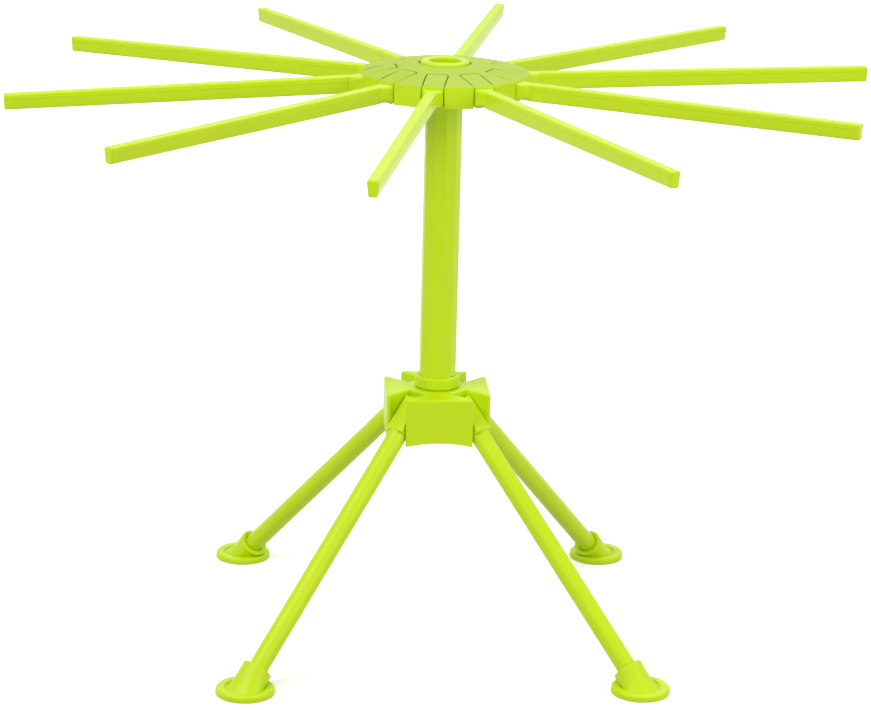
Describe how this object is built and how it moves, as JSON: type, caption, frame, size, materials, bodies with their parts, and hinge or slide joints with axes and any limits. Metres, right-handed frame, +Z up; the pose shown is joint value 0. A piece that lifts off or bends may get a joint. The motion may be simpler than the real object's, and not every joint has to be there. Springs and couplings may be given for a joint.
{
  "type": "pasta drying rack",
  "caption": "Collapsible pasta drying rack: slender arms hinged to a ten-sided hub on a hollow column, above a square base with folding legs and round feet.",
  "frame": {"origin": "on the floor under the middle of the column", "axes": "+Z up along the column; the legs lie on the diagonals of X and Y, and -Y is the front"},
  "size_m": [0.428, 0.4214, 0.2937],
  "materials": {
    "lime_plastic": "gloss moulded ABS, lime green",
    "lime_plastic_hub": "moulded ABS, lime green, finely textured on top",
    "steel": "zinc plated"
  },
  "bodies": {
    "stand": {"hub_cover": "lime_plastic_hub", "hub_plate": "lime_plastic", "column_cap": "lime_plastic", "column": "lime_plastic", "arm_pins": "steel", "hub_screws": "steel", "base_collar": "lime_plastic", "base_body": "lime_plastic", "base_plate": "lime_plastic", "leg_pins": "steel", "base_screws": "steel"},
    "arm_1": {"arm_1": "lime_plastic"},
    "arm_2": {"arm_2": "lime_plastic"},
    "arm_3": {"arm_3": "lime_plastic"},
    "arm_4": {"arm_4": "lime_plastic"},
    "arm_5": {"arm_5": "lime_plastic"},
    "arm_6": {"arm_6": "lime_plastic"},
    "arm_7": {"arm_7": "lime_plastic"},
    "arm_8": {"arm_8": "lime_plastic"},
    "arm_9": {"arm_9": "lime_plastic"},
    "arm_10": {"arm_10": "lime_plastic"},
    "leg_back_right": {"leg_back_right": "lime_plastic", "foot_back_right": "lime_plastic"},
    "leg_back_left": {"leg_back_left": "lime_plastic", "foot_back_left": "lime_plastic"},
    "leg_front_left": {"leg_front_left": "lime_plastic", "foot_front_left": "lime_plastic"},
    "leg_front_right": {"leg_front_right": "lime_plastic", "foot_front_right": "lime_plastic"}
  },
  "joints": [
    {"name": "arm_1_hinge", "type": "hinge", "parent": "stand", "child": "arm_1", "pos_m": [0.02177, 0.01961, 0.2828], "axis": [-0.6691, 0.7431, 0], "range_deg": [0, 82.4]},
    {"name": "arm_2_hinge", "type": "hinge", "parent": "stand", "child": "arm_2", "pos_m": [0.00609, 0.02866, 0.2828], "axis": [-0.9781, 0.2079, 0], "range_deg": [0, 82.1]},
    {"name": "arm_3_hinge", "type": "hinge", "parent": "stand", "child": "arm_3", "pos_m": [-0.01192, 0.02677, 0.2828], "axis": [-0.9135, -0.4067, 0], "range_deg": [0, 81.6]},
    {"name": "arm_4_hinge", "type": "hinge", "parent": "stand", "child": "arm_4", "pos_m": [-0.02538, 0.01465, 0.2828], "axis": [-0.5, -0.866, 0], "range_deg": [0, 81.5]},
    {"name": "arm_5_hinge", "type": "hinge", "parent": "stand", "child": "arm_5", "pos_m": [-0.02914, -0.00306, 0.2828], "axis": [0.1045, -0.9945, 0], "range_deg": [0, 80.3]},
    {"name": "arm_6_hinge", "type": "hinge", "parent": "stand", "child": "arm_6", "pos_m": [-0.02177, -0.01961, 0.2828], "axis": [0.6691, -0.7431, 0], "range_deg": [0, 80.7]},
    {"name": "arm_7_hinge", "type": "hinge", "parent": "stand", "child": "arm_7", "pos_m": [-0.00609, -0.02866, 0.2828], "axis": [0.9781, -0.2079, 0], "range_deg": [0, 81.2]},
    {"name": "arm_8_hinge", "type": "hinge", "parent": "stand", "child": "arm_8", "pos_m": [0.01192, -0.02677, 0.2828], "axis": [0.9135, 0.4067, 0], "range_deg": [0, 81.8]},
    {"name": "arm_9_hinge", "type": "hinge", "parent": "stand", "child": "arm_9", "pos_m": [0.02538, -0.01465, 0.2828], "axis": [0.5, 0.866, 0], "range_deg": [0, 82.6]},
    {"name": "arm_10_hinge", "type": "hinge", "parent": "stand", "child": "arm_10", "pos_m": [0.02914, 0.00306, 0.2828], "axis": [-0.1045, 0.9945, 0], "range_deg": [0, 83.2]},
    {"name": "leg_back_right_hinge", "type": "hinge", "parent": "stand", "child": "leg_back_right", "pos_m": [0.01485, 0.01485, 0.11498], "axis": [-0.7071, 0.7071, 0], "range_deg": [0, 45.5]},
    {"name": "leg_back_left_hinge", "type": "hinge", "parent": "stand", "child": "leg_back_left", "pos_m": [-0.01485, 0.01485, 0.11498], "axis": [-0.7071, -0.7071, 0], "range_deg": [0, 45.5]},
    {"name": "leg_front_left_hinge", "type": "hinge", "parent": "stand", "child": "leg_front_left", "pos_m": [-0.01485, -0.01485, 0.11498], "axis": [0.7071, -0.7071, 0], "range_deg": [0, 45.5]},
    {"name": "leg_front_right_hinge", "type": "hinge", "parent": "stand", "child": "leg_front_right", "pos_m": [0.01485, -0.01485, 0.11498], "axis": [0.7071, 0.7071, 0], "range_deg": [0, 45.5]}
  ]
}
